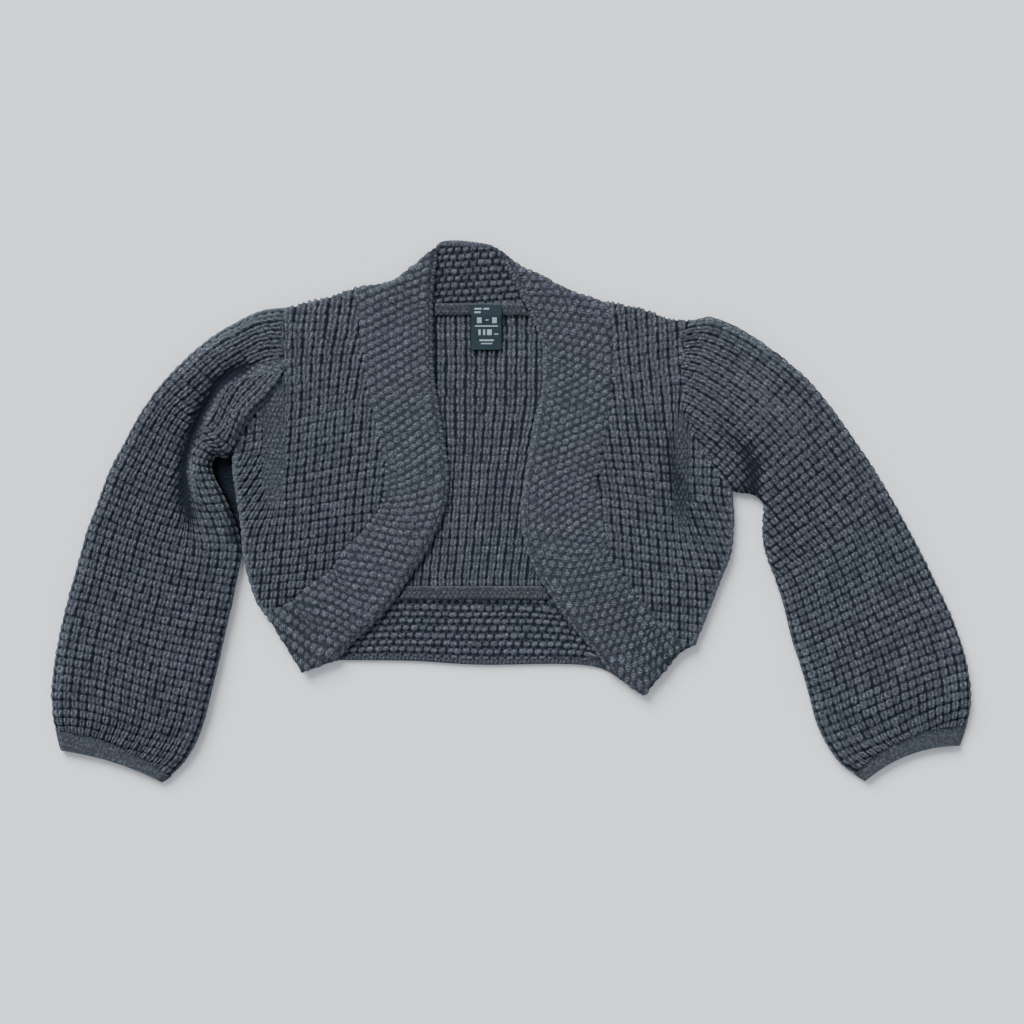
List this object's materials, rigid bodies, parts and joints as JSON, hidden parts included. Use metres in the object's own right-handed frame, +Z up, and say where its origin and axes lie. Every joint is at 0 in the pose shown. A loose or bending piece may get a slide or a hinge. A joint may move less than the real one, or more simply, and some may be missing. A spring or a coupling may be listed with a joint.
{
  "type": "knitted shrug",
  "caption": "Child's open-front knitted shrug with gathered long sleeves and a wide moss stitch band, laid flat with its front up.",
  "frame": {"origin": "middle of the garment's bounding box, on the surface that it lies on", "axes": "+X across the garment towards the wearer's left sleeve, +Y towards the collar, +Z up from the surface to the front"},
  "size_m": [0.6046, 0.357, 0.016],
  "materials": {
    "Waffle_Knit_Slate": "chunky heathered slate grey yarn in waffle rib",
    "Moss_Knit_Slate": "chunky heathered slate grey yarn in moss stitch",
    "Plain_Knit_Slate": "slate grey yarn in fine plain knit",
    "Label_Satin_Teal": "woven satin, dark teal grey"
  },
  "bodies": {
    "root": {"back": "Waffle_Knit_Slate", "front_right": "Waffle_Knit_Slate", "front_left": "Waffle_Knit_Slate", "sleeve_right": "Waffle_Knit_Slate", "sleeve_left": "Waffle_Knit_Slate", "cuff_right": "Plain_Knit_Slate", "cuff_left": "Plain_Knit_Slate", "band_right": "Moss_Knit_Slate", "band_left": "Moss_Knit_Slate", "collar_back": "Moss_Knit_Slate", "hem_band_back": "Moss_Knit_Slate", "neck_seam": "Plain_Knit_Slate", "hem_seam": "Plain_Knit_Slate", "label": "Label_Satin_Teal"}
  },
  "joints": []
}
